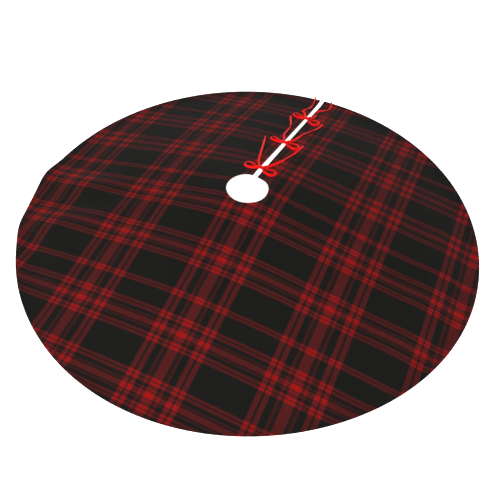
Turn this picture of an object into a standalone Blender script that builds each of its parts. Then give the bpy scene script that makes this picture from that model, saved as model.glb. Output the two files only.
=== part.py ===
"""Round plaid tree skirt: a low cone of cloth with a trunk hole and a slit closed by three ribbon bows.

Metres, +Z up. The origin is on the floor under the middle of the trunk hole, and the slit runs along +Y.
"""
import math

import bmesh
import bpy
from mathutils import Vector

MM = 0.001
GAP = 0.3 * MM                     # air left between neighbouring pieces

# The skirt panel
SKIRT_RADIUS = 559 * MM            # 1118 mm, 44 inches, across
HOLE_RADIUS = 50 * MM              # a trunk hole 100 mm, 4 inches, across
HOLE_RISE = 106 * MM               # the hole's edge stands this far above the rim
RIM_FLAT = 14 * MM                 # the last stretch of cloth, which lies flat on the floor
RIM_BEND = 0.02                    # how softly the cone turns into that flat stretch
CLOTH = 1.2 * MM                   # thickness of the plaid cloth
COLUMNS = 96                       # divisions around the skirt
ROWS = (50, 62, 150, 270, 370, 440, 490, 520, 534, 541, 546, 559)   # radii in mm, closest at the bend

# The facing strips sewn under the edges
FACING = 0.8 * MM
FACING_WIDTH = 12.5 * MM
EDGE_INSET = 0.6 * MM              # a facing stops this far inside the panel's edge
FACING_COLUMNS = 48

# The slit: widest at the hole, drawn in by the ties, and a little wider again at the rim
SLIT_AT_HOLE = 14.6 * MM
SLIT_AT_WAIST = 10.8 * MM
SLIT_AT_RIM = 12.8 * MM
WAIST_PLACE = 420 * MM

# Two ripples where the rim lifts off the floor: bearing from +X in degrees, height, half-width in degrees
RIPPLES = ((188.0, 12 * MM, 5.0), (208.0, 9 * MM, 5.0))
RIPPLE_START = 390 * MM            # the ripples fade out towards this radius

# The topstitching and the ribbon tacks
THREAD = 0.5 * MM
STITCH_INSET = 9 * MM
TACK_INSET = 4 * MM
TACK_LENGTH = 6 * MM

# The ribbon ties
RIBBON_WIDTH = 6.5 * MM
RIBBON = 0.5 * MM
RIBBON_CLEAR = 1.2 * MM            # air under a ribbon, which leaves room for the stitching
KNOT_REACH = 5 * MM
KNOT_LENGTH = 8 * MM
KNOT_HEIGHT = 7 * MM

# Each bow: the distance of its knot from the hole's middle, then the routes of its loops and tails in mm.
# A route point is (out from the slit's middle line, along the slit from the knot).
BOWS = (
    {
        "knot": 85 * MM,
        "left_loop": ((3, -1), (12, -6), (24, -11), (36, -10), (44, -1), (44, 11),
                      (34, 15), (20, 7), (3, 1)),
        "left_tail": ((3, 1), (12, 13), (21, 31), (29, 57), (38, 90), (48, 126), (59, 163)),
        "right_loop": ((3, -1), (10, -12), (20, -19), (32, -20), (39, -10), (37, 2),
                       (28, 7), (16, 4), (3, 1)),
        "right_tail": ((3, 1), (14, 17), (25, 42), (33, 72), (41, 103), (46, 135), (49, 168)),
    },
    {
        "knot": 241 * MM,
        "left_loop": ((3, -1), (12, -4), (24, -4), (35, -2), (42, 6), (41, 16), (33, 17), (20, 9), (3, 1)),
        "left_tail": ((3, 1), (11, 22), (19, 47), (20, 71), (21, 94), (27, 117), (37, 141), (46, 164)),
        "right_loop": ((3, -1), (13, -12), (25, -19), (37, -19), (42, -8), (37, 4),
                       (28, 9), (16, 6), (3, 1)),
        "right_tail": ((3, 1), (13, 16), (19, 31), (21, 53), (26, 75),
                       (36, 99), (45, 123), (50, 146), (52, 168)),
    },
    {
        "knot": 415 * MM,
        "left_loop": ((3, -1), (13, -6), (26, -6), (38, -1), (44, 8), (41, 18), (30, 17), (16, 8), (3, 1)),
        "left_tail": ((3, 1), (9, 14), (18, 32), (27, 45), (24, 59),
                      (18, 75), (16, 96), (19, 123), (26, 155)),
        "right_loop": ((3, -1), (10, -14), (20, -24), (32, -29), (40, -18), (39, -4),
                       (30, 4), (16, 1), (3, 1)),
        "right_tail": ((3, 1), (12, 13), (16, 30), (13, 49), (13, 65),
                       (22, 79), (34, 92), (37, 108), (34, 128), (29, 147)),
    },
)
CURVE_STEPS = 3                    # straight pieces between two route points


def clear_scene():
    for old in list(bpy.data.objects):
        bpy.data.objects.remove(old, do_unlink=True)


def material(name, colour, roughness):
    made = bpy.data.materials.new(name)
    made.use_nodes = True
    shader = made.node_tree.nodes["Principled BSDF"]
    shader.inputs["Base Color"].default_value = (*colour, 1.0)
    shader.inputs["Roughness"].default_value = roughness
    return made


def add_object(name, mesh, finish):
    mesh.materials.append(finish)
    made = bpy.data.objects.new(name, mesh)
    bpy.context.collection.objects.link(made)
    return made


def mesh_from(name, points, faces):
    mesh = bpy.data.meshes.new(name)
    mesh.from_pydata(points, [], faces)
    work = bmesh.new()
    work.from_mesh(mesh)
    bmesh.ops.recalc_face_normals(work, faces=work.faces)
    work.to_mesh(mesh)
    work.free()
    return mesh


# The skirt's shape

def slit_half(y):
    """Half the slit's width at a distance y from the hole's middle."""
    if y < WAIST_PLACE:
        away = (WAIST_PLACE - y) / (WAIST_PLACE - HOLE_RADIUS)
        end_width = SLIT_AT_HOLE
    else:
        away = (y - WAIST_PLACE) / (SKIRT_RADIUS - WAIST_PLACE)
        end_width = SLIT_AT_RIM
    return 0.5 * (SLIT_AT_WAIST + (end_width - SLIT_AT_WAIST) * min(away, 1.0) ** 2)


def cone_rise(radius):
    """Height of the cone over its rim: straight, with a soft bend into the flat rim."""
    flat_start = SKIRT_RADIUS - RIM_FLAT
    up = max(0.0, (flat_start - radius) / (flat_start - HOLE_RADIUS))
    full = math.sqrt(1 + RIM_BEND ** 2) - RIM_BEND
    return HOLE_RISE * (math.sqrt(up ** 2 + RIM_BEND ** 2) - RIM_BEND) / full


def ripple_lift(x, y):
    radius = math.hypot(x, y)
    if radius <= RIPPLE_START:
        return 0.0
    outward = min(1.0, (radius - RIPPLE_START) / (SKIRT_RADIUS - RIPPLE_START))
    bearing = math.degrees(math.atan2(y, x)) % 360.0
    lift = sum(height * math.exp(-((bearing - middle) / spread) ** 2) for middle, height, spread in RIPPLES)
    return lift * outward ** 1.5


def panel_under(x, y):
    return FACING + GAP + cone_rise(math.hypot(x, y)) + ripple_lift(x, y)


def panel_top(x, y):
    return panel_under(x, y) + CLOTH


def round_point(radius, share):
    """A point at a radius, a share of the way around from the slit's left edge to its right edge."""
    edge_turn = math.asin(slit_half(radius) / radius)
    turn = edge_turn + share * (2 * math.pi - 2 * edge_turn)
    return -radius * math.sin(turn), radius * math.cos(turn)


def slab(name, grid, under, thickness):
    """A closed sheet over a grid of plan points, which lies on the height function under."""
    rows = len(grid)
    columns = len(grid[0])
    low = [(x, y, under(x, y)) for row in grid for x, y in row]
    high = [(x, y, z + thickness) for x, y, z in low]
    top = rows * columns
    faces = []
    for i in range(rows - 1):
        for j in range(columns - 1):
            a = i * columns + j
            b = a + columns
            faces.append((a, b, b + 1, a + 1))
            faces.append((top + a, top + a + 1, top + b + 1, top + b))
    edge = [j for j in range(columns)]
    edge += [i * columns + columns - 1 for i in range(1, rows)]
    edge += [(rows - 1) * columns + j for j in range(columns - 2, -1, -1)]
    edge += [i * columns for i in range(rows - 2, 0, -1)]
    for here, following in zip(edge, edge[1:] + edge[:1]):
        faces.append((here, following, top + following, top + here))
    return mesh_from(name, low + high, faces)


def round_grid(radii, columns):
    return [[round_point(radius, j / columns) for j in range(columns + 1)] for radius in radii]


def plaid_panel(finish):
    grid = round_grid([row * MM for row in ROWS], COLUMNS)
    return add_object("plaid_panel", slab("plaid_panel", grid, panel_under, CLOTH), finish)


def rim_facing(finish):
    radii = (SKIRT_RADIUS - EDGE_INSET - FACING_WIDTH, SKIRT_RADIUS - EDGE_INSET)
    grid = round_grid(radii, COLUMNS)
    return add_object("rim_facing", slab("rim_facing", grid, ripple_lift, FACING), finish)


def facing_under(x, y):
    return panel_under(x, y) - GAP - FACING


def hole_facing(finish):
    radii = (HOLE_RADIUS + EDGE_INSET, HOLE_RADIUS + EDGE_INSET + FACING_WIDTH)
    grid = round_grid(radii, FACING_COLUMNS)
    return add_object("hole_facing", slab("hole_facing", grid, facing_under, FACING), finish)


def slit_facing(name, side, finish):
    start = HOLE_RADIUS + EDGE_INSET + FACING_WIDTH + 2 * GAP
    end = SKIRT_RADIUS - EDGE_INSET - FACING_WIDTH - 4 * GAP
    places = [start] + [row * MM for row in ROWS if start < row * MM < end] + [end]
    grid = []
    for y in places:
        edge = slit_half(y) + EDGE_INSET
        grid.append([(side * edge, y), (side * (edge + FACING_WIDTH), y)])
    return add_object(name, slab(name, grid, facing_under, FACING), finish)


# Threads

def square_thread(name, route, finish):
    """A thread of square section along a list of points, closed at both ends."""
    points = []
    half = THREAD / 2
    for i, here in enumerate(route):
        before = route[max(i - 1, 0)]
        after = route[min(i + 1, len(route) - 1)]
        along = (Vector(after) - Vector(before)).normalized()
        across = along.cross(Vector((0, 0, 1))).normalized()
        upward = across.cross(along)
        for a, b in ((-1, -1), (1, -1), (1, 1), (-1, 1)):
            points.append(Vector(here) + across * half * a + upward * half * b)
    faces = [(0, 1, 2, 3), tuple(len(points) - 4 + k for k in range(4))]
    for i in range(len(route) - 1):
        for k in range(4):
            a = 4 * i + k
            b = 4 * i + (k + 1) % 4
            faces.append((a, b, b + 4, a + 4))
    return add_object(name, mesh_from(name, points, faces), finish)


def on_cloth(x, y, lift):
    return (x, y, panel_top(x, y) + lift)


def round_stitching(name, radius, columns, finish):
    margin = STITCH_INSET / (2 * math.pi * radius) + 2 * THREAD / (2 * math.pi * radius)
    route = []
    for j in range(columns + 1):
        share = min(max(j / columns, margin), 1 - margin)
        route.append(on_cloth(*round_point(radius, share), GAP + THREAD / 2))
    return square_thread(name, route, finish)


def slit_stitching(name, side, finish):
    start = HOLE_RADIUS + STITCH_INSET + 3 * MM
    end = SKIRT_RADIUS - STITCH_INSET - 3 * MM
    places = [start] + [row * MM for row in ROWS if start < row * MM < end] + [end]
    route = [on_cloth(side * (slit_half(y) + STITCH_INSET), y, GAP + THREAD / 2) for y in places]
    return square_thread(name, route, finish)


def ribbon_tack(name, side, knot, finish):
    x = side * (slit_half(knot) + TACK_INSET)
    route = [on_cloth(x, knot + along * TACK_LENGTH / 2, GAP + THREAD / 2) for along in (-1, 0, 1)]
    return square_thread(name, route, finish)


# Ribbons

def smooth_route(points):
    """Points along a smooth curve through the given plan points."""
    padded = [points[0]] + list(points) + [points[-1]]
    route = []
    for i in range(1, len(padded) - 2):
        p0, p1, p2, p3 = (Vector(padded[i + k]) for k in (-1, 0, 1, 2))
        for step in range(CURVE_STEPS):
            t = step / CURVE_STEPS
            route.append(0.5 * (2 * p1 + (p2 - p0) * t + (2 * p0 - 5 * p1 + 4 * p2 - p3) * t ** 2
                                + (3 * p1 - p0 - 3 * p2 + p3) * t ** 3))
    route.append(Vector(padded[-2]))
    return route


def ribbon_strip(name, route, centre_lift, standing):
    """A closed flat strip along plan points: standing on its edge, or lying on the cloth."""
    points = []
    for i, here in enumerate(route):
        before = route[max(i - 1, 0)]
        after = route[min(i + 1, len(route) - 1)]
        along = (after - before).normalized()
        side = Vector((-along.y, along.x))
        half_side = (RIBBON if standing else RIBBON_WIDTH) / 2
        half_up = (RIBBON_WIDTH if standing else RIBBON) / 2
        middle = panel_top(here.x, here.y) + centre_lift
        for a, b in ((-1, -1), (1, -1), (1, 1), (-1, 1)):
            place = here + side * half_side * a
            points.append((place.x, place.y, middle + half_up * b))
    faces = [(0, 1, 2, 3), tuple(len(points) - 4 + k for k in range(4))]
    for i in range(len(route) - 1):
        for k in range(4):
            a = 4 * i + k
            b = 4 * i + (k + 1) % 4
            faces.append((a, b, b + 4, a + 4))
    return mesh_from(name, points, faces)


def block(name, low, high):
    work = bmesh.new()
    bmesh.ops.create_cube(work, size=1.0)
    for vert in work.verts:
        vert.co = Vector([low[k] + (vert.co[k] + 0.5) * (high[k] - low[k]) for k in range(3)])
    bmesh.ops.bevel(work, geom=work.edges, offset=1.2 * MM, segments=2, affect="EDGES")
    mesh = bpy.data.meshes.new(name)
    work.to_mesh(mesh)
    work.free()
    return mesh


def join_to(base, mesh):
    """Union another closed mesh onto a piece, and keep only the result."""
    tool = bpy.data.objects.new("tool", mesh)
    bpy.context.collection.objects.link(tool)
    union = base.modifiers.new("union", "BOOLEAN")
    union.operation = "UNION"
    union.object = tool
    bpy.context.view_layer.update()
    finished = bpy.data.meshes.new_from_object(base.evaluated_get(bpy.context.evaluated_depsgraph_get()))
    base.modifiers.clear()
    base.data = finished
    bpy.data.objects.remove(tool, do_unlink=True)


def ribbon_tie(number, word, side, bow, finish):
    """One ribbon of a bow: its stub from the slit's edge, its half of the knot, its loop and its tail."""
    name = f"ribbon_{number}_{word}"
    knot = bow["knot"]
    base_z = panel_top(0.0, knot)
    inner = side * GAP / 2
    outer = side * KNOT_REACH
    low = (min(inner, outer), knot - KNOT_LENGTH / 2, base_z - CLOTH)
    high = (max(inner, outer), knot + KNOT_LENGTH / 2, base_z - CLOTH + KNOT_HEIGHT + RIBBON_CLEAR)
    tie = add_object(name, block(name, low, high), finish)

    edge = side * (slit_half(knot) - GAP)
    stub_route = [Vector((side * KNOT_REACH / 2, knot)), Vector((edge, knot))]
    join_to(tie, ribbon_strip("stub", stub_route, -CLOTH / 2, standing=False))
    for part, standing in (("loop", True), ("tail", False)):
        plan = [(side * out * MM, knot + along * MM) for out, along in bow[f"{word}_{part}"]]
        height = RIBBON_WIDTH if standing else RIBBON
        route = smooth_route(plan)
        join_to(tie, ribbon_strip(part, route, RIBBON_CLEAR + height / 2, standing))
    return tie


def build():
    clear_scene()
    plaid = material("plaid_cloth", (0.09, 0.02, 0.022), 0.9)
    lining = material("facing_cloth", (0.02, 0.02, 0.018), 0.9)
    thread = material("black_thread", (0.015, 0.015, 0.015), 0.7)
    satin = material("red_satin", (0.8, 0.012, 0.01), 0.4)

    plaid_panel(plaid)
    rim_facing(lining)
    hole_facing(lining)
    round_stitching("rim_stitching", SKIRT_RADIUS - STITCH_INSET, COLUMNS, thread)
    round_stitching("hole_stitching", HOLE_RADIUS + STITCH_INSET, FACING_COLUMNS, thread)
    for word, side in (("left", -1), ("right", 1)):
        slit_facing(f"slit_facing_{word}", side, lining)
        slit_stitching(f"slit_stitching_{word}", side, thread)
        for number, bow in enumerate(BOWS, start=1):
            ribbon_tack(f"ribbon_tack_{number}_{word}", side, bow["knot"], thread)
            ribbon_tie(number, word, side, bow, satin)


build()
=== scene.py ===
"""Looks of a round plaid tree skirt: woven cloth in the shape of a low cone, and three satin ribbon bows.

Metres, +Z up. The origin is on the floor under the middle of the trunk hole, and the slit runs along +Y.
"""
import math

import bmesh
import bpy
from mathutils import Matrix, Vector, noise


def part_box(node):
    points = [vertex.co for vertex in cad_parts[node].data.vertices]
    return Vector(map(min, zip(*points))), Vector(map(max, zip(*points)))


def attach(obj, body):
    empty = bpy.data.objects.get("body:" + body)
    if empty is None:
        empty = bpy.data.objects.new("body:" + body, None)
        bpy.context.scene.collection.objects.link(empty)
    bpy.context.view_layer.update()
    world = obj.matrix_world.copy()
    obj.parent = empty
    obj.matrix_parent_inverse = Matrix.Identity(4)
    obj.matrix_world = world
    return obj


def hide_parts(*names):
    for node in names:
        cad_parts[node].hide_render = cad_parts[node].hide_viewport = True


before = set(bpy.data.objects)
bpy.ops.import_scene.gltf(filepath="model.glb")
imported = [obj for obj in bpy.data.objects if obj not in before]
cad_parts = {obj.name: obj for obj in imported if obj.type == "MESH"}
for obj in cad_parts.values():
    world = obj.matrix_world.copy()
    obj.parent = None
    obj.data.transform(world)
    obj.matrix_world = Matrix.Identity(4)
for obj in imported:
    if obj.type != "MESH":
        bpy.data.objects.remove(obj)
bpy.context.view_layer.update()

MM = 0.001
BODY = "root"

# The skirt's driving sizes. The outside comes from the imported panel, the rest repeats the part's own numbers.
PANEL_LOW, PANEL_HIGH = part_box("plaid_panel")
SKIRT_RADIUS = 0.5 * (PANEL_HIGH.x - PANEL_LOW.x)
HOLE_RADIUS = 50 * MM
HOLE_RISE = 106 * MM
RIM_FLAT = 14 * MM
RIM_BEND = 0.02
CLOTH = 1.2 * MM
GAP = 0.3 * MM
FACING = 0.8 * MM
FACING_WIDTH = 12.5 * MM
EDGE_INSET = 0.6 * MM
SLIT_AT_HOLE = 14.6 * MM
SLIT_AT_WAIST = 10.8 * MM
SLIT_AT_RIM = 12.8 * MM
WAIST_PLACE = 420 * MM
RIPPLES = ((188.0, 12 * MM, 5.0), (208.0, 9 * MM, 5.0))
RIPPLE_START = 390 * MM
STITCH_INSET = 9 * MM
TACK_INSET = 4 * MM
TACK_LENGTH = 6 * MM

# The cloth's own softness. Bearings are in degrees from +X.
# where the rim lies further out or in: bearing, distance, half-width in degrees
RIM_SPREADS = ((342.0, 6.2 * MM, 28.0), (235.0, -2.0 * MM, 25.0), (62.0, -1.2 * MM, 25.0))
# the same for the trunk hole, dying out over a short way from its edge
HOLE_SPREADS = ((76.0, -4.6 * MM, 26.0), (335.0, 1.9 * MM, 28.0), (232.0, -1.2 * MM, 30.0))
HOLE_SPREAD_REACH = 45 * MM
# low rounded rolls: bearing, distance from the hole's middle, height, and half-widths in degrees and outwards
SOFT_ROLLS = (
    (352.0, 475 * MM, 6.5 * MM, 32.0, 62 * MM),
    (191.4, 428 * MM, 12.8 * MM, 5.9, 101 * MM),
    (209.3, 417 * MM, 7.4 * MM, 5.9, 112 * MM),
    (187.7, 461 * MM, -4.5 * MM, 15.2, 90 * MM),
    (236.3, 419 * MM, -2.3 * MM, 11.0, 120 * MM),
    (216.0, 535 * MM, -7.0 * MM, 6.4, 30 * MM),
)
ROLL_MARGIN = (2 * MM, 60 * MM)    # the rolls die out over this stretch inside the rim
WAVE_HEIGHT = 1.3 * MM             # slow waves across the panel
WAVE_MARGIN = (12 * MM, 90 * MM)   # the waves grow over this stretch in from an edge
PUCKER_HEIGHT = 0.35 * MM          # small puckers between the edges and their stitching
PUCKER_REACH = 7 * MM
SEAM_DEPTH = 0.35 * MM             # how far the topstitching pulls the cloth down
SEAM_WIDTH = 2.2 * MM

# How finely the cloth is meshed
ROUND_STEPS = 620                  # around the panel and the rim's facing
HOLE_STEPS = 200                   # around the hole's facing
SLIT_STEPS = 160                   # along the slit's facings
ROUND_FACING_STEPS = 8             # across the rim's and the hole's facings
SLIT_FACING_STEPS = 6              # across the slit's facings
RINGS_BETWEEN = 40                 # from the hole's close rings to the rim's
# distances of the close rings from an edge, in millimetres
CLOSE_RINGS = (0.0, 0.35, 0.9, 2.0, 3.5, 5.2, 6.9, 8.1, 9.0, 9.9, 11.2, 13.5, 17.0, 22.0)
SLIT_CROWDING = 0.145              # how much closer together the lines lie beside the slit

# Topstitching
STITCH_PITCH = 3.6 * MM
STITCH_LENGTH = 2.7 * MM
THREAD = 0.42 * MM
THREAD_LIFT = 0.3 * THREAD         # height of a seam's line over the cloth
SEAM_END_GAP = 3 * MM              # between a slit's seam and the rim's or the hole's
SEAM_STEPS = 240                   # points along the slit's seams and around the hole's
RIM_SEAM_STEPS = 900               # points along the rim's seam

# Tacks: a close zigzag over each ribbon's sewn end
TACK_SWAY = 0.9 * MM               # how far the zigzag goes to each side
TACK_STROKES = 12
TACK_LIFT = 0.35 * THREAD          # height of the zigzag's line over the cloth
TACK_THREAD = 0.36 * MM
TACK_PITCH = 0.62 * MM
TACK_STITCH = 1.9 * MM

# Ribbons
RIBBON_WIDTH = 6.5 * MM
RIBBON = 0.45 * MM
RIBBON_STEP = 1.1 * MM             # spacing of the cross-sections along a ribbon
CURVE_STEPS = 24                   # fine steps between two points of a route
RIBBON_CLEAR = 0.9 * MM            # air under a ribbon, which leaves room for the stitching
PINCH_REACH = 6 * MM               # a ribbon opens to its full width over this distance from the knot
KNOT_PINCH = 0.8                   # share of its width that a ribbon keeps in the knot
KNOT_LIFT = 3.4 * MM               # height of the knot's middle over the cloth
KNOT_ACROSS = 4.9 * MM             # half-sizes of the band around the knot: across the slit, along it and up
KNOT_ALONG = 4.5 * MM
KNOT_UP = 3.7 * MM
KNOT_SKEW = 0.9 * MM               # how far the top of the band leans to one side
KNOT_ROUNDING = 0.55               # how much the band narrows towards its two ends
KNOT_TUCK = 0.8                    # its outermost rings turn in by this share
KNOT_CREASE = 0.07                 # depth of its three creases, and of its lumps, in shares of its size
KNOT_LUMP = 0.05
KNOT_FACETS = 40                   # around the band
KNOT_RINGS = 14                    # across it
SEWN_IN = 0.3 * MM                 # how far a ribbon's sewn end reaches into the slit's edge
STUB_OUT = (1.2 * MM, 0.5 * MM)    # its first point in the slit: past the edge, over the sewn end
STUB_RISE = (2.6 * MM, 0.8 * MM)   # its next point: from the middle line, under the knot's middle
STUB_END = (1.0 * MM, 0.5 * MM)    # its end in the knot: from the middle line, towards the hole
STUB_TAPER = 6                     # cross-sections over which it narrows to its width in the knot
LOOP_RISE = 0.6 * MM               # a loop leaves the knot this far over its middle
LOOP_DROP = 0.4 * MM               # and comes back this far under it
LOOP_DESCENT = 12 * MM             # a loop comes down from the knot to the cloth over this distance
TAIL_DESCENT = 14 * MM
RIM_DROOP = 10 * MM                # a tail that runs past the rim reaches the floor over this distance
# how a loop leans: (share of the loop's length, degrees from lying flat)
LOOP_ROLL = ((0.0, 60), (0.2, 50), (0.5, 35), (0.7, 2), (0.9, -3), (1.0, 25))

# Plaid: both families of stripes, as a weaver's list from the middle of a group outwards.
# Each entry is (millimetres from the middle where the colour starts, strength of the red from 0 to 1).
WEAVE_TURN = 0.77                  # degrees between the cloth's grain and the slit
WARP_REPEAT = 252.5
WARP_MIDDLE = 33.0
WARP_GROUP = ((0.0, 1.0), (10.6, 0.12), (18.8, 0.5), (24.0, 0.0),
              (39.0, 0.9), (49.4, 0.05), (54.0, 0.9), (64.6, 0.0))
WEFT_REPEAT = 315.5
WEFT_GROUP_MIDDLES = (-199.4, -67.4)
WEFT_GROUP = ((0.0, 1.0), (5.4, 0.12), (9.2, 0.4), (12.8, 0.0),
              (20.0, 0.84), (25.7, 0.05), (28.3, 0.84), (34.0, 0.0))
WEFT_PAIR_MIDDLE = 12.4
WEFT_PAIR = ((0.0, 0.1), (1.2, 0.84), (6.6, 0.0))
STRIPE_SOFTNESS = 1.8              # width of the change from one yarn colour to the next, in millimetres
YARN = 0.5                         # spacing of the yarns, in millimetres
TWILL_YARNS = 4                    # yarns from one diagonal rib to the next
GRAIN_SCALE = 1000.0               # turns the cloth's UV map from metres into millimetres

# Satin
SELVEDGE = 0.435                   # where the woven edge starts, in shares of the width from the middle
SATIN_RIB = 0.55 * MM              # from one cross rib to the next

# The camera: where it stands, the directions of its right and its top, and its lens in millimetres
CAMERA_PLACE = (0.4092, -0.8987, 1.0207)
CAMERA_RIGHT = (0.9111, 0.4122, 0.0047)
CAMERA_UP = (-0.3139, 0.6863, 0.6561)
CAMERA_LENS = 40.86

# Bows: the knot's distance from the hole's middle, then for each side the plan routes of the loop and the
# tail, as (out from the slit's middle line, along the slit from the knot) in millimetres, and the tail's
# roll, as (share of the tail's length, degrees from lying flat).
BOWS = (
    {
        "knot": 85 * MM,
        "left_loop": ((3, -1), (12, -6), (24, -11), (36, -10), (44, -1), (44, 11),
                      (34, 15), (20, 7), (3, 1)),
        "left_tail": ((3, 1), (12, 13), (21, 31), (29, 57), (38, 90), (48, 126), (59, 163)),
        "left_roll": ((0.0, 10), (0.2, 3), (0.35, -19), (0.8, -19), (1.0, -50)),
        "right_loop": ((3, -1), (10, -12), (20, -19), (32, -20), (39, -10), (37, 2),
                       (28, 7), (16, 4), (3, 1)),
        "right_tail": ((3, 1), (14, 17), (25, 42), (33, 72), (41, 103), (46, 135), (49, 168)),
        "right_roll": ((0.0, -45), (0.3, -42), (0.47, 20), (0.63, 20), (0.76, -34), (0.9, -32), (1.0, 10)),
    },
    {
        "knot": 241 * MM,
        "left_loop": ((3, -1), (12, -4), (24, -4), (35, -2), (42, 6), (41, 16), (33, 17), (20, 9), (3, 1)),
        "left_tail": ((3, 1), (11, 22), (19, 47), (20, 71), (21, 94), (27, 117), (37, 141), (46, 164)),
        "left_roll": ((0.0, 10), (0.2, 8), (0.32, -26), (0.5, -28), (0.6, -55), (0.72, -32),
                      (0.85, -25), (1.0, -35)),
        "right_loop": ((3, -1), (13, -12), (25, -19), (37, -19), (42, -8), (37, 4),
                       (28, 9), (16, 6), (3, 1)),
        "right_tail": ((3, 1), (13, 16), (19, 31), (21, 53), (26, 75),
                       (36, 99), (45, 123), (50, 146), (52, 168)),
        "right_roll": ((0.0, -48), (0.2, -43), (0.33, -3), (0.45, 19), (0.62, 26), (0.75, 14),
                       (0.88, 0), (1.0, 12)),
    },
    {
        "knot": 415 * MM,
        "left_loop": ((3, -1), (13, -6), (26, -6), (38, -1), (44, 8), (41, 18), (30, 17), (16, 8), (3, 1)),
        "left_tail": ((3, 1), (9, 14), (18, 32), (27, 45), (24, 59),
                      (18, 75), (16, 96), (19, 123), (26, 155)),
        "left_roll": ((0.0, -14), (0.28, -20), (0.35, 10), (0.42, -24), (0.53, 2), (0.68, -48), (1.0, -44)),
        "right_loop": ((3, -1), (10, -14), (20, -24), (32, -29), (40, -18), (39, -4),
                       (30, 4), (16, 1), (3, 1)),
        "right_tail": ((3, 1), (12, 13), (16, 30), (13, 49), (13, 65),
                       (22, 79), (34, 92), (37, 108), (34, 128), (29, 147)),
        "right_roll": ((0.0, -50), (0.2, -42), (0.3, -74), (0.4, -40), (0.5, -16),
                       (0.62, 18), (0.72, 25), (0.85, 24), (1.0, 60)),
    },
)


# ---------------------------------------------------------------- the camera, the floor and the light

def make_camera():
    lens = bpy.data.cameras.new("camera")
    lens.sensor_width = 36.0
    lens.lens = CAMERA_LENS
    lens.clip_start = 0.01
    lens.clip_end = 60.0
    camera = bpy.data.objects.new("camera", lens)
    bpy.context.scene.collection.objects.link(camera)
    right = Vector(CAMERA_RIGHT)
    back = right.cross(Vector(CAMERA_UP)).normalized()
    up = back.cross(right).normalized()
    turn = Matrix((right.normalized(), up, back)).transposed()
    camera.matrix_world = Matrix.Translation(CAMERA_PLACE) @ turn.to_4x4()
    bpy.context.scene.camera = camera


def make_floor():
    work = bmesh.new()
    bmesh.ops.create_grid(work, x_segments=8, y_segments=8, size=12.0)
    mesh = bpy.data.meshes.new("floor")
    work.to_mesh(mesh)
    work.free()
    floor = bpy.data.objects.new("floor", mesh)
    bpy.context.scene.collection.objects.link(floor)
    finish = bpy.data.materials.new("pale_floor")
    finish.use_nodes = True
    shader = finish.node_tree.nodes["Principled BSDF"]
    shader.inputs["Base Color"].default_value = (0.85, 0.85, 0.85, 1.0)
    shader.inputs["Roughness"].default_value = 0.9
    shader.inputs["Specular IOR Level"].default_value = 0.1
    shader.inputs["Emission Color"].default_value = (1.0, 1.0, 1.0, 1.0)
    shader.inputs["Emission Strength"].default_value = 0.95
    mesh.materials.append(finish)


def soft_light(name, place, size, watts):
    lamp = bpy.data.lights.new(name, "AREA")
    lamp.shape = "DISK"
    lamp.size = size
    lamp.energy = watts
    made = bpy.data.objects.new(name, lamp)
    bpy.context.scene.collection.objects.link(made)
    made.location = place
    made.rotation_mode = "QUATERNION"
    made.rotation_quaternion = Vector(place).to_track_quat("Z", "Y")


def make_light():
    world = bpy.data.worlds.new("studio")
    world.use_nodes = True
    backdrop = world.node_tree.nodes["Background"]
    backdrop.inputs["Color"].default_value = (1.0, 1.0, 1.0, 1.0)
    backdrop.inputs["Strength"].default_value = 1.0
    bpy.context.scene.world = world
    soft_light("front_softbox", place=(0.35, -2.5, 1.5), size=1.6, watts=80.0)
    bpy.context.scene.view_settings.view_transform = "Standard"
    bpy.context.scene.view_settings.look = "None"


# ---------------------------------------------------------------- the skirt's shape

def slit_half(y):
    """Half the slit's width at a distance y from the hole's middle."""
    if y < WAIST_PLACE:
        away = (WAIST_PLACE - y) / (WAIST_PLACE - HOLE_RADIUS)
        end_width = SLIT_AT_HOLE
    else:
        away = (y - WAIST_PLACE) / (SKIRT_RADIUS - WAIST_PLACE)
        end_width = SLIT_AT_RIM
    return 0.5 * (SLIT_AT_WAIST + (end_width - SLIT_AT_WAIST) * min(away, 1.0) ** 2)


def cone_rise(radius):
    flat_start = SKIRT_RADIUS - RIM_FLAT
    up = max(0.0, (flat_start - radius) / (flat_start - HOLE_RADIUS))
    full = math.sqrt(1 + RIM_BEND ** 2) - RIM_BEND
    return HOLE_RISE * (math.sqrt(up ** 2 + RIM_BEND ** 2) - RIM_BEND) / full


def ripple_lift(x, y):
    radius = math.hypot(x, y)
    if radius <= RIPPLE_START:
        return 0.0
    outward = min(1.0, (radius - RIPPLE_START) / (SKIRT_RADIUS - RIPPLE_START))
    bearing = math.degrees(math.atan2(y, x)) % 360.0
    lift = sum(height * math.exp(-((bearing - middle) / spread) ** 2) for middle, height, spread in RIPPLES)
    return lift * outward ** 1.5


def smooth_step(value, low, high):
    t = min(max((value - low) / (high - low), 0.0), 1.0)
    return t * t * (3 - 2 * t)


def edge_distance(x, y):
    """Distance from the nearest cut edge of the panel: rim, hole or slit."""
    radius = math.hypot(x, y)
    nearest = min(SKIRT_RADIUS - radius, radius - HOLE_RADIUS)
    if y > 0:
        nearest = min(nearest, abs(x) - slit_half(radius))
    return max(nearest, 0.0)


def turn_between(a, b):
    """The smaller angle between two bearings, in degrees."""
    return abs((a - b + 180.0) % 360.0 - 180.0)


def spread_out(x, y):
    """A plan point moved outwards or inwards where the edge lies off its cut circle."""
    radius = math.hypot(x, y)
    bearing = math.degrees(math.atan2(y, x))

    def spread(spreads):
        return sum(far * math.exp(-(turn_between(bearing, middle) / width) ** 2)
                   for middle, far, width in spreads)

    at_rim = (radius / SKIRT_RADIUS) ** 3
    at_hole = math.exp(-((radius - HOLE_RADIUS) / HOLE_SPREAD_REACH) ** 2)
    grown = 1 + (spread(RIM_SPREADS) * at_rim + spread(HOLE_SPREADS) * at_hole) / radius
    return x * grown, y * grown


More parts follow.
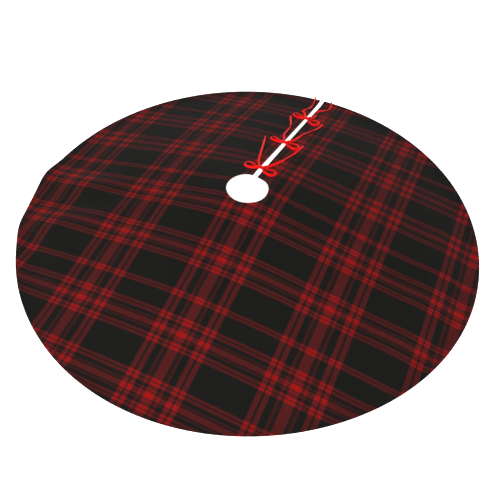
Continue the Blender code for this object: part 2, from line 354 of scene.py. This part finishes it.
def soft_rolls(x, y):
    """Low rounded rolls in the cloth, which the rim's facing stops."""
    radius = math.hypot(x, y)
    bearing = math.degrees(math.atan2(y, x))
    lift = 0.0
    for middle, out, height, wide, deep in SOFT_ROLLS:
        lift += height * math.exp(-(turn_between(bearing, middle) / wide) ** 2 - ((radius - out) / deep) ** 2)
    return lift * smooth_step(SKIRT_RADIUS - radius, *ROLL_MARGIN)


def slow_waves(x, y):
    """Waves in the cloth that die out at every edge, where the facing holds it flat."""
    free = smooth_step(edge_distance(x, y), *WAVE_MARGIN)
    radius = math.hypot(x, y)
    turn = math.atan2(y, x)
    fold = noise.noise(Vector((3.0 * math.cos(turn), 3.0 * math.sin(turn), 1.6 * radius)))
    lump = noise.noise(Vector((7.0 * x, 7.0 * y, 4.2)))
    return WAVE_HEIGHT * free * (fold + 0.6 * lump)


def puckers(x, y):
    """Small puckers beside the stitching."""
    from_edge = edge_distance(x, y)
    near = math.exp(-((from_edge - STITCH_INSET) / PUCKER_REACH) ** 2)
    small = noise.noise(Vector((75.0 * x, 75.0 * y, 9.1)))
    smaller = noise.noise(Vector((160.0 * x, 160.0 * y, 3.7)))
    return PUCKER_HEIGHT * near * (small + 0.5 * smaller)


def seam_dip(x, y):
    return SEAM_DEPTH * math.exp(-((edge_distance(x, y) - STITCH_INSET) / SEAM_WIDTH) ** 2)


def cloth_under(x, y):
    """The underside of the panel, never lower than its facing's top on the floor."""
    lift = cone_rise(math.hypot(x, y)) + ripple_lift(x, y) + soft_rolls(x, y) + slow_waves(x, y)
    return FACING + GAP + max(lift, 0.0)


def cloth_top(x, y):
    """The upper face of the panel, puckered beside the stitching and drawn down along it."""
    return cloth_under(x, y) + CLOTH + puckers(x, y) - seam_dip(x, y)


def round_point(radius, share):
    """A point at a radius, a share of the way around from the slit's left edge to its right edge."""
    edge_turn = math.asin(slit_half(radius) / radius)
    turn = edge_turn + share * (2 * math.pi - 2 * edge_turn)
    return -radius * math.sin(turn), radius * math.cos(turn)


# ---------------------------------------------------------------- meshes

def add_piece(name, mesh, finish):
    mesh.materials.append(finish)
    piece = bpy.data.objects.new(name, mesh)
    bpy.context.scene.collection.objects.link(piece)
    return piece


def shade_smooth(mesh):
    mesh.polygons.foreach_set("use_smooth", [True] * len(mesh.polygons))


def mesh_from(name, points, faces, uvs=None):
    mesh = bpy.data.meshes.new(name)
    mesh.from_pydata(points, [], faces)
    if uvs is not None:
        layer = mesh.uv_layers.new(name="grain")
        for loop in mesh.loops:
            layer.data[loop.index].uv = uvs[loop.vertex_index]
    work = bmesh.new()
    work.from_mesh(mesh)
    bmesh.ops.recalc_face_normals(work, faces=work.faces)
    work.to_mesh(mesh)
    work.free()
    shade_smooth(mesh)
    return mesh


def closed_sheet(name, grid, under, top):
    """A closed sheet over a grid of plan points, between two heights. Its UV map is the plan, in metres."""
    rows = len(grid)
    columns = len(grid[0])
    flat = [(x, y) for row in grid for x, y in row]
    plan = [spread_out(x, y) for x, y in flat]
    low = [(*place, under(x, y)) for place, (x, y) in zip(plan, flat)]
    high = [(*place, top(x, y)) for place, (x, y) in zip(plan, flat)]
    start = rows * columns
    faces = []
    for i in range(rows - 1):
        for j in range(columns - 1):
            a = i * columns + j
            b = a + columns
            faces.append((a, b, b + 1, a + 1))
            faces.append((start + a, start + a + 1, start + b + 1, start + b))
    edge = list(range(columns))
    edge += [i * columns + columns - 1 for i in range(1, rows)]
    edge += [(rows - 1) * columns + j for j in range(columns - 2, -1, -1)]
    edge += [i * columns for i in range(rows - 2, 0, -1)]
    for here, following in zip(edge, edge[1:] + edge[:1]):
        faces.append((here, following, start + following, start + here))
    return mesh_from(name, low + high, faces, plan + plan)


def spaced(low, high, count):
    return [low + (high - low) * i / count for i in range(count + 1)]


def panel_rows():
    """Radii of the panel's rings, close together at the edges and their stitching."""
    inner = [HOLE_RADIUS + step * MM for step in CLOSE_RINGS]
    outer = [SKIRT_RADIUS - step * MM for step in reversed(CLOSE_RINGS)]
    middle = spaced(inner[-1], outer[0], RINGS_BETWEEN)[1:-1]
    return inner + middle + outer


def panel_shares(count):
    """Shares of the way around, closer together beside the slit."""
    return [share - SLIT_CROWDING * math.sin(2 * math.pi * share) / math.pi for share in spaced(0, 1, count)]


def make_panel(finish):
    shares = panel_shares(ROUND_STEPS)
    grid = [[round_point(radius, share) for share in shares] for radius in panel_rows()]
    mesh = closed_sheet("plaid_panel_cloth", grid, cloth_under, cloth_top)
    panel = add_piece("plaid_panel_cloth", mesh, finish)
    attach(panel, BODY)
    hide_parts("plaid_panel")
    return panel


def facing_top(x, y):
    return cloth_under(x, y) - GAP


def facing_under(x, y):
    return facing_top(x, y) - FACING


def round_facing(name, node, inner, outer, count, finish):
    radii = spaced(inner, outer, ROUND_FACING_STEPS)
    grid = [[round_point(radius, share) for share in spaced(0, 1, count)] for radius in radii]
    mesh = closed_sheet(name, grid, facing_under, facing_top)
    facing = add_piece(name, mesh, finish)
    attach(facing, BODY)
    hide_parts(node)
    return facing


def slit_facing(name, node, side, finish):
    start = HOLE_RADIUS + EDGE_INSET + FACING_WIDTH + 2 * GAP
    end = SKIRT_RADIUS - EDGE_INSET - FACING_WIDTH - 4 * GAP
    grid = []
    for y in spaced(start, end, SLIT_STEPS):
        edge = slit_half(y) + EDGE_INSET
        grid.append([(side * x, y) for x in spaced(edge, edge + FACING_WIDTH, SLIT_FACING_STEPS)])
    mesh = closed_sheet(name, grid, facing_under, facing_top)
    facing = add_piece(name, mesh, finish)
    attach(facing, BODY)
    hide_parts(node)
    return facing


# ---------------------------------------------------------------- ribbons

def curve_through(points, spacing):
    """Points at an even spacing along a smooth curve through the given points."""
    padded = [points[0]] + list(points) + [points[-1]]
    fine = []
    for i in range(1, len(padded) - 2):
        p0, p1, p2, p3 = (Vector(padded[i + k]) for k in (-1, 0, 1, 2))
        for step in range(CURVE_STEPS):
            t = step / CURVE_STEPS
            fine.append(0.5 * (2 * p1 + (p2 - p0) * t + (2 * p0 - 5 * p1 + 4 * p2 - p3) * t ** 2
                               + (3 * p1 - p0 - 3 * p2 + p3) * t ** 3))
    fine.append(Vector(padded[-2]))
    lengths = [0.0]
    for a, b in zip(fine, fine[1:]):
        lengths.append(lengths[-1] + (b - a).length)
    count = max(2, round(lengths[-1] / spacing))
    even = []
    k = 0
    for i in range(count + 1):
        want = lengths[-1] * i / count
        while k < len(fine) - 2 and lengths[k + 1] < want:
            k += 1
        span = lengths[k + 1] - lengths[k]
        even.append(fine[k].lerp(fine[k + 1], (want - lengths[k]) / span if span > 0 else 0.0))
    return even


def between(table, share):
    """A value read smoothly from a table of (share, value)."""
    if share <= table[0][0]:
        return table[0][1]
    for (s0, v0), (s1, v1) in zip(table, table[1:]):
        if share <= s1:
            return v0 + (v1 - v0) * smooth_step(share, s0, s1)
    return table[-1][1]


def cloth_below(x, y, side):
    """Height of what a ribbon lies over: the cloth, the slit's edge over the slit, the floor past the rim."""
    radius = math.hypot(x, y)
    if abs(x) < slit_half(radius):
        x = math.copysign(slit_half(radius), x if x else side)
    past_rim = smooth_step(radius - SKIRT_RADIUS, 0.0, RIM_DROOP)
    return cloth_top(x, y) * (1 - past_rim)


def plan_curve(points, side, knot):
    """A bow's route in plan, mirrored to its side, at an even spacing."""
    plan = [Vector((side * out * MM, knot + along * MM, 0.0)) for out, along in points]
    return curve_through(plan, RIBBON_STEP)


def width_at(from_knot):
    """A ribbon's width at a distance from the knot, which gathers it."""
    opening = smooth_step(from_knot, 0.0, PINCH_REACH)
    return RIBBON_WIDTH * (KNOT_PINCH + (1 - KNOT_PINCH) * opening)


def lean_height(roll, width):
    """Half the height of a ribbon's cross-section that leans by a roll."""
    return abs(math.sin(math.radians(roll))) * width / 2 + RIBBON / 2


def stub_stations(side, knot, knot_z):
    """Out of the slit's edge and up into the knot."""
    edge_x = slit_half(knot)
    edge_z = cloth_under(edge_x, knot) + CLOTH / 2
    route = [Vector((side * (edge_x + SEWN_IN), knot, edge_z)),
             Vector((side * (edge_x - STUB_OUT[0]), knot, edge_z + STUB_OUT[1])),
             Vector((side * STUB_RISE[0], knot, knot_z - STUB_RISE[1])),
             Vector((side * STUB_END[0], knot - STUB_END[1], knot_z))]
    flat = 0.0 if side < 0 else 180.0
    return [(place, flat, RIBBON_WIDTH * (1.0 - (1 - KNOT_PINCH) * min(1.0, i / STUB_TAPER)))
            for i, place in enumerate(curve_through(route, RIBBON_STEP))]


def loop_stations(points, side, knot, knot_z):
    """Out of the knot and back into it, on its edge on the way out and nearly flat on the way back."""
    route = plan_curve(points, side, knot)
    total = len(route) - 1
    stations = []
    for i, place in enumerate(route):
        share = i / total
        from_knot = min(i, total - i) * RIBBON_STEP
        width = width_at(from_knot)
        lean = between(LOOP_ROLL, share)
        z = cloth_below(place.x, place.y, side) + RIBBON_CLEAR + lean_height(lean, width)
        knot_share = 1 - smooth_step(from_knot, 0.0, LOOP_DESCENT)
        into_knot = knot_z + (LOOP_RISE if share < 0.5 else -LOOP_DROP)
        z = z * (1 - knot_share) + into_knot * knot_share
        stations.append((Vector((place.x, place.y, z)), lean if side < 0 else 180.0 - lean, width))
    return stations


def tail_stations(points, rolls, side, knot, knot_z):
    """Out of the knot and over the cloth to the cut end, twisting as its rolls say."""
    route = plan_curve(points, side, knot)
    total = len(route) - 1
    stations = []
    for i, place in enumerate(route[1:], start=1):
        from_knot = i * RIBBON_STEP
        width = width_at(from_knot)
        roll = between(rolls, i / total)
        z = cloth_below(place.x, place.y, side) + RIBBON_CLEAR + lean_height(roll, width)
        knot_share = 1 - smooth_step(from_knot, 0.0, TAIL_DESCENT)
        z = z * (1 - knot_share) + knot_z * knot_share
        stations.append((Vector((place.x, place.y, z)), side * roll, width))
    return stations


def ribbon_stations(bow, word, side):
    """One ribbon's cross-sections, from its sewn end to its cut end: (place, roll in degrees, width)."""
    knot = bow["knot"]
    knot_z = cloth_below(side * slit_half(knot), knot, side) + KNOT_LIFT
    return (stub_stations(side, knot, knot_z)
            + loop_stations(bow[f"{word}_loop"], side, knot, knot_z)
            + tail_stations(bow[f"{word}_tail"], bow[f"{word}_roll"], side, knot, knot_z))


def ribbon_frames(stations):
    """Turns each station into (place, direction across the ribbon, direction out of its face, width)."""
    places = [station[0] for station in stations]
    frames = []
    for i, (place, roll, width) in enumerate(stations):
        before = places[max(i - 2, 0)]
        after = places[min(i + 2, len(places) - 1)]
        along = (after - before).normalized()
        across = along.cross(Vector((0, 0, 1)))
        across = across.normalized() if across.length > 1e-6 else Vector((1, 0, 0))
        upward = across.cross(along)
        turn = math.radians(roll)
        wide = across * math.cos(turn) + upward * math.sin(turn)
        frames.append((place, wide, along.cross(wide), width))
    return frames


# A ribbon's cross-section with its thicker woven edges, in shares of the width and of the thickness
RIBBON_SECTION = (
    (-0.5, 0.0), (-0.485, 0.4), (-0.45, 0.5), (-0.3, 0.46), (-0.1, 0.44),
    (0.1, 0.44), (0.3, 0.46), (0.45, 0.5), (0.485, 0.4),
    (0.5, 0.0), (0.485, -0.4), (0.45, -0.5), (0.3, -0.46), (0.1, -0.44),
    (-0.1, -0.44), (-0.3, -0.46), (-0.45, -0.5), (-0.485, -0.4),
)


def make_ribbon(number, word, side, bow, finish):
    stations = ribbon_stations(bow, word, side)
    frames = ribbon_frames(stations)
    points = []
    uvs = []
    run = 0.0
    ring = len(RIBBON_SECTION)
    for i, (place, wide, face, width) in enumerate(frames):
        if i:
            run += (place - frames[i - 1][0]).length
        for a, b in RIBBON_SECTION:
            points.append(place + wide * (a * width) + face * (b * RIBBON))
            uvs.append((a, run))
    faces = []
    for i in range(len(frames) - 1):
        for k in range(ring):
            a = i * ring + k
            b = i * ring + (k + 1) % ring
            faces.append((a, b, b + ring, a + ring))
    faces.append(tuple(range(ring)))
    faces.append(tuple((len(frames) - 1) * ring + k for k in range(ring)))
    name = f"ribbon_{number}_{word}_satin"
    ribbon = add_piece(name, mesh_from(name, points, faces, uvs), finish)
    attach(ribbon, BODY)
    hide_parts(f"ribbon_{number}_{word}")
    path = [section[0] for section in frames]
    length = sum((b - a).length for a, b in zip(path, path[1:]))
    return ribbon, path, length


def make_knot(number, bow, finish):
    """The band of ribbon that wraps the middle of a bow."""
    knot = bow["knot"]
    centre = Vector((0.0, knot, cloth_top(slit_half(knot), knot) + KNOT_LIFT))
    points = []
    uvs = []
    for i in range(KNOT_RINGS + 1):
        t = -1 + 2 * i / KNOT_RINGS
        swell = math.sqrt(1 - KNOT_ROUNDING * t ** 4)
        tuck = KNOT_TUCK if i in (0, KNOT_RINGS) else 1.0
        for j in range(KNOT_FACETS):
            turn = 2 * math.pi * j / KNOT_FACETS
            lump = noise.noise(Vector((math.cos(turn) * 2, math.sin(turn) * 2, t * 2 + number)))
            crease = 1 + KNOT_CREASE * math.sin(3 * turn + 2.2 * t) + KNOT_LUMP * lump
            x = KNOT_ACROSS * t + KNOT_SKEW * math.sin(turn)
            y = KNOT_ALONG * swell * crease * tuck * math.cos(turn)
            z = KNOT_UP * swell * crease * tuck * math.sin(turn)
            points.append(centre + Vector((x, y, z)))
            # the satin's ribs follow the run around the band
            uvs.append((t * 0.5, turn * KNOT_LIFT))
    faces = []
    for i in range(KNOT_RINGS):
        for j in range(KNOT_FACETS):
            a = i * KNOT_FACETS + j
            b = i * KNOT_FACETS + (j + 1) % KNOT_FACETS
            faces.append((a, b, b + KNOT_FACETS, a + KNOT_FACETS))
    for i in (0, KNOT_RINGS):
        faces.append(tuple(i * KNOT_FACETS + j for j in range(KNOT_FACETS)))
    name = f"bow_knot_{number}"
    piece = add_piece(name, mesh_from(name, points, faces, uvs), finish)
    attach(piece, BODY)
    return piece


# ---------------------------------------------------------------- stitches

def stitch_tree(finish):
    """Geometry Nodes that lay stitches along a line."""
    tree = bpy.data.node_groups.new("running_stitches", "GeometryNodeTree")
    tree.interface.new_socket("Geometry", in_out="INPUT", socket_type="NodeSocketGeometry")
    for name, value in (("Pitch", STITCH_PITCH), ("Stitch length", STITCH_LENGTH), ("Thread", THREAD)):
        socket = tree.interface.new_socket(name, in_out="INPUT", socket_type="NodeSocketFloat")
        socket.default_value = value
    tree.interface.new_socket("Geometry", in_out="OUTPUT", socket_type="NodeSocketGeometry")
    add = tree.nodes.new
    link = tree.links.new
    given = add("NodeGroupInput")
    made = add("NodeGroupOutput")

    def times(label, factor):
        product = add("ShaderNodeMath")
        product.operation = "MULTIPLY"
        product.inputs[1].default_value = factor
        link(given.outputs[label], product.inputs[0])
        return product.outputs[0]

    to_curve = add("GeometryNodeMeshToCurve")
    link(given.outputs["Geometry"], to_curve.inputs["Mesh"])
    spaced_line = add("GeometryNodeResampleCurve")
    spaced_line.mode = "LENGTH"
    link(to_curve.outputs["Curve"], spaced_line.inputs["Curve"])
    link(given.outputs["Pitch"], spaced_line.inputs["Length"])

    # one stitch: a short arched thread whose ends dip into the cloth
    bar = add("GeometryNodeCurvePrimitiveBezierSegment")
    bar.inputs["Resolution"].default_value = 7
    dip = times("Thread", -0.85)
    rise = times("Thread", 0.75)
    for label, along, up in (("Start", -0.5, dip), ("Start Handle", -0.3, rise),
                             ("End Handle", 0.3, rise), ("End", 0.5, dip)):
        point = add("ShaderNodeCombineXYZ")
        link(times("Stitch length", along), point.inputs["X"])
        link(up, point.inputs["Z"])
        link(point.outputs[0], bar.inputs[label])
    ring = add("GeometryNodeCurvePrimitiveCircle")
    ring.inputs["Resolution"].default_value = 6
    link(times("Thread", 0.5), ring.inputs["Radius"])
    thread = add("GeometryNodeCurveToMesh")
    thread.inputs["Fill Caps"].default_value = True
    link(bar.outputs["Curve"], thread.inputs["Curve"])
    link(ring.outputs["Curve"], thread.inputs["Profile Curve"])

    tangent = add("GeometryNodeInputTangent")
    turn = add("FunctionNodeAlignRotationToVector")
    turn.axis = "X"
    link(tangent.outputs["Tangent"], turn.inputs["Vector"])
    level = add("FunctionNodeAlignRotationToVector")
    level.axis = "Z"
    level.pivot_axis = "X"
    level.inputs["Vector"].default_value = (0.0, 0.0, 1.0)
    link(turn.outputs["Rotation"], level.inputs["Rotation"])
    wobble = add("FunctionNodeRandomValue")
    wobble.data_type = "FLOAT"
    wobble.inputs[2].default_value = 0.94
    wobble.inputs[3].default_value = 1.06
    wobble.inputs["Seed"].default_value = 7
    place = add("GeometryNodeInstanceOnPoints")
    link(spaced_line.outputs["Curve"], place.inputs["Points"])
    link(thread.outputs["Mesh"], place.inputs["Instance"])
    link(level.outputs["Rotation"], place.inputs["Rotation"])
    link(wobble.outputs[1], place.inputs["Scale"])
    real = add("GeometryNodeRealizeInstances")
    link(place.outputs["Instances"], real.inputs["Geometry"])
    paint = add("GeometryNodeSetMaterial")
    paint.inputs["Material"].default_value = finish
    link(real.outputs["Geometry"], paint.inputs["Geometry"])
    link(paint.outputs["Geometry"], made.inputs["Geometry"])
    return tree


def stitched_line(name, node, route, tree, finish, settings=()):
    """Stitches along a route, as one plain mesh piece that stands for the part's thread."""
    line = bpy.data.meshes.new(name)
    line.from_pydata(route, [(i, i + 1) for i in range(len(route) - 1)], [])
    holder = bpy.data.objects.new(name, line)
    bpy.context.scene.collection.objects.link(holder)
    layer = holder.modifiers.new("stitches", "NODES")
    layer.node_group = tree
    names = {item.name: item.identifier for item in tree.interface.items_tree if item.in_out == "INPUT"}
    for label, value in settings:
        layer[names[label]] = value
    bpy.context.view_layer.update()
    depsgraph = bpy.context.evaluated_depsgraph_get()
    mesh = bpy.data.meshes.new_from_object(holder.evaluated_get(depsgraph))
    holder.modifiers.clear()
    bpy.data.objects.remove(holder, do_unlink=True)
    mesh.name = name
    mesh.materials.clear()
    shade_smooth(mesh)
    piece = add_piece(name, mesh, finish)
    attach(piece, BODY)
    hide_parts(node)
    return piece


def on_cloth(x, y, lift):
    return (*spread_out(x, y), cloth_top(x, y) + lift)


def round_route(radius, steps):
    margin = (STITCH_INSET + 1 * MM) / (2 * math.pi * radius)
    shares = spaced(margin, 1 - margin, steps)
    return [on_cloth(*round_point(radius, share), THREAD_LIFT) for share in shares]


def slit_route(side):
    start = HOLE_RADIUS + STITCH_INSET + SEAM_END_GAP
    end = SKIRT_RADIUS - STITCH_INSET - SEAM_END_GAP
    return [on_cloth(side * (slit_half(y) + STITCH_INSET), y, THREAD_LIFT)
            for y in spaced(start, end, SEAM_STEPS)]


def tack_route(side, knot):
    """A close zigzag over the ribbon's sewn end."""
    x = side * (slit_half(knot) + TACK_INSET)
    route = []
    for i, along in enumerate(spaced(-TACK_LENGTH / 2, TACK_LENGTH / 2, TACK_STROKES)):
        sway = TACK_SWAY if i % 2 else -TACK_SWAY
        route.append(on_cloth(x + sway, knot + along, TACK_LIFT))
    return route


# ---------------------------------------------------------------- finishes

class Finish:
    """A small helper that builds a node material line by line."""

    def __init__(self, name):
        self.material = bpy.data.materials.new(name)
        self.material.use_nodes = True
        self.tree = self.material.node_tree
        self.shader = self.tree.nodes["Principled BSDF"]

    def node(self, kind, **settings):
        made = self.tree.nodes.new(kind)
        for key, value in settings.items():
            setattr(made, key, value)
        return made

    def link(self, source, target):
        self.tree.links.new(source, target)

    def math(self, operation, a, b=None, c=None):
        made = self.node("ShaderNodeMath", operation=operation)
        for k, value in enumerate((a, b, c)):
            if value is None:
                continue
            if isinstance(value, (int, float)):
                made.inputs[k].default_value = value
            else:
                self.link(value, made.inputs[k])
        return made.outputs[0]

    def mix_colour(self, share, a, b):
        made = self.node("ShaderNodeMix", data_type="RGBA", blend_type="MIX")
        for socket, value in ((made.inputs[0], share), (made.inputs[6], a), (made.inputs[7], b)):
            if isinstance(value, (int, float)):
                socket.default_value = value
            elif isinstance(value, tuple):
                socket.default_value = (*value, 1.0)
            else:
                self.link(value, socket)
        return made.outputs[2]

    def uv(self, name="grain"):
        return self.node("ShaderNodeUVMap", uv_map=name).outputs["UV"]

    def noise(self, vector, scale, detail=2.0, roughness=0.5):
        made = self.node("ShaderNodeTexNoise")
        made.inputs["Scale"].default_value = scale
        made.inputs["Detail"].default_value = detail
        made.inputs["Roughness"].default_value = roughness
        self.link(vector, made.inputs["Vector"])
        return made.outputs["Fac"]

    def bump(self, height, strength, distance):
        made = self.node("ShaderNodeBump")
        made.inputs["Strength"].default_value = strength
        made.inputs["Distance"].default_value = distance
        self.link(height, made.inputs["Height"])
        return made.outputs["Normal"]


def stripe_ramp(finish, distance, group, reach):
    """Reads a list of stripes: distance in millimetres in, strength of the red out."""
    ramp = finish.node("ShaderNodeValToRGB")
    finish.link(finish.math("DIVIDE", distance, reach), ramp.inputs["Fac"])
    stops = [(0.0, group[0][1])]
    for (_, before), (start, after) in zip(group, group[1:]):
        stops.append((start - STRIPE_SOFTNESS / 2, before))
        stops.append((start + STRIPE_SOFTNESS / 2, after))
    elements = ramp.color_ramp.elements
    elements[0].position, elements[0].color = stops[0][0], (stops[0][1],) * 3 + (1.0,)
    elements[1].position, elements[1].color = stops[1][0] / reach, (stops[1][1],) * 3 + (1.0,)
    for place, value in stops[2:]:
        element = elements.new(place / reach)
        element.color = (value, value, value, 1.0)
    return ramp.outputs["Color"]


def plaid_finish():
    """Tartan on a black ground: two families of red stripes that show brighter where they cross."""
    f = Finish("plaid_cloth")
    grain = f.node("ShaderNodeMapping")
    grain.inputs["Rotation"].default_value = (0.0, 0.0, math.radians(WEAVE_TURN))
    grain.inputs["Scale"].default_value = (GRAIN_SCALE,) * 3
    f.link(f.uv(), grain.inputs["Vector"])
    parts = f.node("ShaderNodeSeparateXYZ")
    f.link(grain.outputs["Vector"], parts.inputs["Vector"])
    u, v = parts.outputs["X"], parts.outputs["Y"]

    def from_middle(place, middle, repeat):
        return f.math("ABSOLUTE", f.math("WRAP", f.math("SUBTRACT", place, middle), repeat / 2, -repeat / 2))

    warp = stripe_ramp(f, from_middle(u, WARP_MIDDLE, WARP_REPEAT), WARP_GROUP, WARP_REPEAT / 2)
    weft = None
    for middle, group in ((WEFT_GROUP_MIDDLES[0], WEFT_GROUP), (WEFT_GROUP_MIDDLES[1], WEFT_GROUP),
                          (WEFT_PAIR_MIDDLE, WEFT_PAIR)):
        stripes = stripe_ramp(f, from_middle(v, middle, WEFT_REPEAT), group, WEFT_REPEAT / 2)
        weft = stripes if weft is None else f.math("MAXIMUM", weft, stripes)

    ground = (0.0055, 0.0055, 0.0047)
    single = (0.0996, 0.0067, 0.0077)
    crossing = (0.210, 0.0035, 0.0036)
    # the twill: the warp shows on one side of each diagonal rib, the weft on the other
    diagonal = f.math("SINE", f.math("MULTIPLY", f.math("ADD", u, v), 2 * math.pi / (TWILL_YARNS * YARN)))
    steep = f.math("ADD", f.math("MULTIPLY", diagonal, 1.6), 0.5)
    warp_up = f.math("SMOOTH_MIN", f.math("MAXIMUM", steep, 0.0), 1.0, 0.05)
    warp_colour = f.mix_colour(warp, ground, f.mix_colour(weft, single, crossing))
    weft_colour = f.mix_colour(weft, ground, f.mix_colour(warp, single, crossing))
    cloth = f.mix_colour(warp_up, weft_colour, warp_colour)
    # yarn to yarn differences and a faint fade
    slub = f.noise(grain.outputs["Vector"], 0.9, 2.0, 0.6)
    fade = f.noise(grain.outputs["Vector"], 0.012, 3.0, 0.5)
    shade = f.math("ADD", f.math("MULTIPLY", slub, 0.35), f.math("ADD", f.math("MULTIPLY", fade, 0.3), 0.67))
    shaded = f.node("ShaderNodeVectorMath", operation="SCALE")
    f.link(cloth, shaded.inputs[0])
    f.link(shade, shaded.inputs["Scale"])
    f.link(shaded.outputs[0], f.shader.inputs["Base Color"])

    warp_yarn = f.math("ABSOLUTE", f.math("SINE", f.math("MULTIPLY", u, math.pi / YARN)))
    weft_yarn = f.math("ABSOLUTE", f.math("SINE", f.math("MULTIPLY", v, math.pi / YARN)))
    yarns = f.node("ShaderNodeMix", data_type="FLOAT")
    f.link(warp_up, yarns.inputs[0])
    f.link(weft_yarn, yarns.inputs[2])
    f.link(warp_yarn, yarns.inputs[3])
    height = f.math("ADD", f.math("MULTIPLY", diagonal, 0.5), yarns.outputs[0])
    f.link(f.bump(height, 0.5, 0.12 * MM), f.shader.inputs["Normal"])
    f.shader.inputs["Roughness"].default_value = 0.9
    f.shader.inputs["Specular IOR Level"].default_value = 0.055
    f.shader.inputs["Sheen Weight"].default_value = 0.015
    f.shader.inputs["Sheen Roughness"].default_value = 0.5
    return f.material


def facing_finish():
    """Plain black tape with a fine plain weave."""
    f = Finish("facing_cloth")
    grain = f.node("ShaderNodeMapping")
    grain.inputs["Scale"].default_value = (GRAIN_SCALE,) * 3
    f.link(f.uv(), grain.inputs["Vector"])
    parts = f.node("ShaderNodeSeparateXYZ")
    f.link(grain.outputs["Vector"], parts.inputs["Vector"])
    over = f.math("SINE", f.math("MULTIPLY", parts.outputs["X"], math.pi / YARN))
    under = f.math("SINE", f.math("MULTIPLY", parts.outputs["Y"], math.pi / YARN))
    weave = f.math("MULTIPLY", over, under)
    slub = f.noise(grain.outputs["Vector"], 0.5, 3.0, 0.6)
    f.link(f.mix_colour(slub, (0.0055, 0.0055, 0.005), (0.013, 0.0125, 0.012)), f.shader.inputs["Base Color"])
    f.link(f.bump(weave, 0.5, 0.1 * MM), f.shader.inputs["Normal"])
    f.shader.inputs["Roughness"].default_value = 0.92
    f.shader.inputs["Specular IOR Level"].default_value = 0.12
    return f.material


def thread_finish():
    f = Finish("black_thread")
    spot = f.node("ShaderNodeTexCoord").outputs["Object"]
    ply = f.noise(spot, 2600.0, 2.0, 0.6)
    f.link(f.mix_colour(ply, (0.0045, 0.0045, 0.0045), (0.02, 0.019, 0.019)), f.shader.inputs["Base Color"])
    f.link(f.bump(ply, 0.4, 0.08 * MM), f.shader.inputs["Normal"])
    f.shader.inputs["Roughness"].default_value = 0.6
    f.shader.inputs["Specular IOR Level"].default_value = 0.2
    return f.material


def satin_finish():
    """Red satin ribbon: fine cross ribs, a firmer woven edge, and a soft gloss."""
    f = Finish("red_satin")
    parts = f.node("ShaderNodeSeparateXYZ")
    f.link(f.uv(), parts.inputs["Vector"])
    across, run = parts.outputs["X"], parts.outputs["Y"]
    selvedge = f.math("GREATER_THAN", f.math("ABSOLUTE", across), SELVEDGE)
    ribs = f.math("SINE", f.math("MULTIPLY", run, 2 * math.pi / SATIN_RIB))
    spot = f.node("ShaderNodeTexCoord").outputs["Object"]
    cloud = f.noise(spot, 120.0, 3.0, 0.55)
    colour = f.mix_colour(cloud, (0.585, 0.003, 0.0026), (0.655, 0.0041, 0.0035))
    colour = f.mix_colour(f.math("MULTIPLY", selvedge, 0.35), colour, (0.35, 0.0024, 0.0024))
    f.link(colour, f.shader.inputs["Base Color"])
    height = f.math("ADD", f.math("MULTIPLY", ribs, 0.5), f.math("MULTIPLY", selvedge, 1.5))
    f.link(f.bump(height, 0.35, 0.05 * MM), f.shader.inputs["Normal"])
    gloss = f.math("ADD", f.math("MULTIPLY", cloud, 0.12), 0.38)
    f.link(gloss, f.shader.inputs["Roughness"])
    f.shader.inputs["Specular IOR Level"].default_value = 0.045
    f.shader.inputs["Anisotropic"].default_value = 0.4
    return f.material


# ---------------------------------------------------------------- putting it together

make_camera()
make_light()
make_floor()

satin = satin_finish()
for number, bow in enumerate(BOWS, start=1):
    knot_piece = make_knot(number, bow, satin)
    for word, side in (("left", -1), ("right", 1)):
        ribbon, path, length = make_ribbon(number, word, side, bow, satin)

plaid = plaid_finish()
tape = facing_finish()
thread = thread_finish()
panel = make_panel(plaid)
facings = [
    round_facing("rim_facing_tape", "rim_facing", SKIRT_RADIUS - EDGE_INSET - FACING_WIDTH,
                 SKIRT_RADIUS - EDGE_INSET, ROUND_STEPS, tape),
    round_facing("hole_facing_tape", "hole_facing", HOLE_RADIUS + EDGE_INSET,
                 HOLE_RADIUS + EDGE_INSET + FACING_WIDTH, HOLE_STEPS, tape),
    slit_facing("slit_facing_left_tape", "slit_facing_left", -1, tape),
    slit_facing("slit_facing_right_tape", "slit_facing_right", 1, tape),
]

tree = stitch_tree(thread)
rim_seam = round_route(SKIRT_RADIUS - STITCH_INSET, RIM_SEAM_STEPS)
hole_seam = round_route(HOLE_RADIUS + STITCH_INSET, SEAM_STEPS)
seams = [
    stitched_line("rim_topstitch", "rim_stitching", rim_seam, tree, thread),
    stitched_line("hole_topstitch", "hole_stitching", hole_seam, tree, thread),
]
tack_stitches = (("Pitch", TACK_PITCH), ("Stitch length", TACK_STITCH), ("Thread", TACK_THREAD))
for word, side in (("left", -1), ("right", 1)):
    seams.append(stitched_line(f"slit_topstitch_{word}", f"slit_stitching_{word}",
                               slit_route(side), tree, thread))
    for number, bow in enumerate(BOWS, start=1):
        seams.append(stitched_line(f"ribbon_tack_{number}_{word}_zigzag", f"ribbon_tack_{number}_{word}",
                                   tack_route(side, bow["knot"]), tree, thread, tack_stitches))
